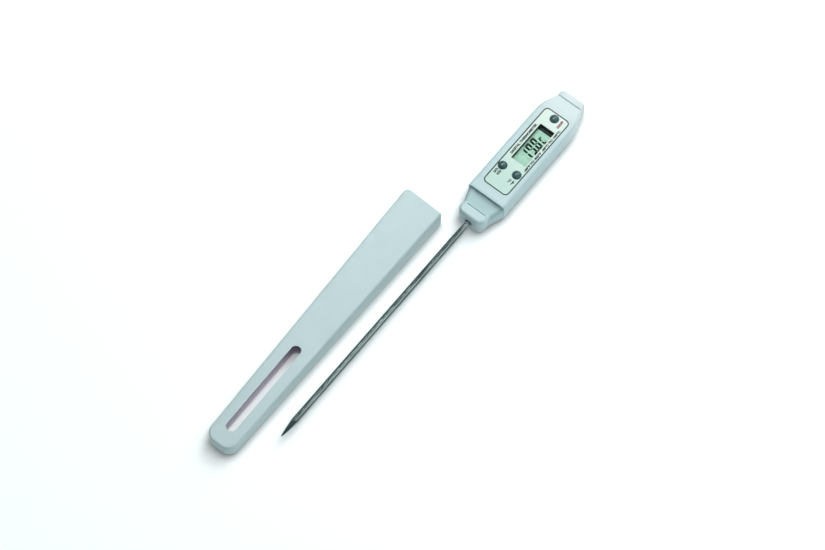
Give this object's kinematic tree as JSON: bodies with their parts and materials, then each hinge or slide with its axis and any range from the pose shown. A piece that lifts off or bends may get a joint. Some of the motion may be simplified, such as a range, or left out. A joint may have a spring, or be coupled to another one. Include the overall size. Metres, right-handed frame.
{
  "type": "darkroom thermometer",
  "caption": "Pocket digital thermometer with a pointed steel probe, a display and push buttons, lying beside its slotted plastic sheath.",
  "frame": {"origin": "on the flat back of the handle, on its centre line, 27.9 mm above the lower shoulder; the table plane is Z = 0", "axes": "+X along the printed wording, from the point of the probe to the upper end of the handle; +Y up the wording, towards the sheath; +Z out of the display"},
  "size_m": [0.227, 0.0401, 0.013],
  "materials": {
    "shell_plastic": "satin pale aqua-white moulding",
    "sheath_plastic": "satin pale aqua-white moulding",
    "label_film": "printed pale mint film",
    "clear_pane": "clear acrylic",
    "display_glass": "polished display glass",
    "reflector_film": "satin film",
    "black_plastic": "matte",
    "button_plastic": "gloss dark grey",
    "conductive_rubber": "matte",
    "seal_rubber": "matte",
    "board_laminate": "solder mask",
    "epoxy_black": "satin",
    "epoxy_grey": "satin",
    "component_metal": "satin",
    "component_ceramic": "matte",
    "stainless_steel": "polished stainless steel",
    "nickel_strip": "bright nickel",
    "bushing_brass": "turned",
    "screw_steel": "zinc plated",
    "lead_insulation": "matte",
    "sensor_glass": "glass bead"
  },
  "bodies": {
    "handle": {"front_shell": "shell_plastic", "back_shell": "shell_plastic", "front_label": "label_film", "window_pane": "clear_pane", "lcd_frame": "black_plastic", "lcd_panel": "display_glass", "lcd_reflector": "reflector_film", "elastomer_strips": "conductive_rubber", "circuit_board": "board_laminate", "controller_blob": "epoxy_black", "timing_crystal": "component_metal", "chip_capacitors": "component_ceramic", "contact_domes": "nickel_strip", "cell_can": "nickel_strip", "cell_cap": "component_metal", "cell_gasket": "black_plastic", "contact_negative": "nickel_strip", "contact_positive": "nickel_strip", "case_screws": "screw_steel", "probe_tube": "stainless_steel", "probe_tip": "stainless_steel", "probe_bushing": "bushing_brass", "probe_seal": "seal_rubber", "sensor_bead": "sensor_glass", "sensor_leads": "lead_insulation", "sensor_potting": "epoxy_grey"},
    "hold_button": {"button_hold": "button_plastic"},
    "unit_button": {"button_unit": "button_plastic"},
    "power_button": {"button_power": "button_plastic"},
    "cover": {"cell_cover": "shell_plastic", "cover_ring": "seal_rubber"},
    "sheath": {"sheath_shell": "sheath_plastic"}
  },
  "joints": [
    {"name": "hold_press", "type": "slide", "parent": "handle", "child": "hold_button", "axis": [0, 0, -1], "range_m": [0, 0.0005], "stiffness_N_per_m": 400},
    {"name": "unit_press", "type": "slide", "parent": "handle", "child": "unit_button", "axis": [0, 0, -1], "range_m": [0, 0.0005], "stiffness_N_per_m": 400},
    {"name": "power_press", "type": "slide", "parent": "handle", "child": "power_button", "axis": [0, 0, -1], "range_m": [0, 0.0005], "stiffness_N_per_m": 400},
    {"name": "cover_turn", "type": "hinge", "parent": "handle", "child": "cover", "pos_m": [-0.0193, 0, 0], "axis": [0, 0, 1], "range_deg": [0, 50]},
    {"name": "sheath_slide", "type": "slide", "parent": "handle", "child": "sheath", "axis": [0.9999, 0.0131, 0], "range_m": [-0.1235, 0.0165]}
  ]
}
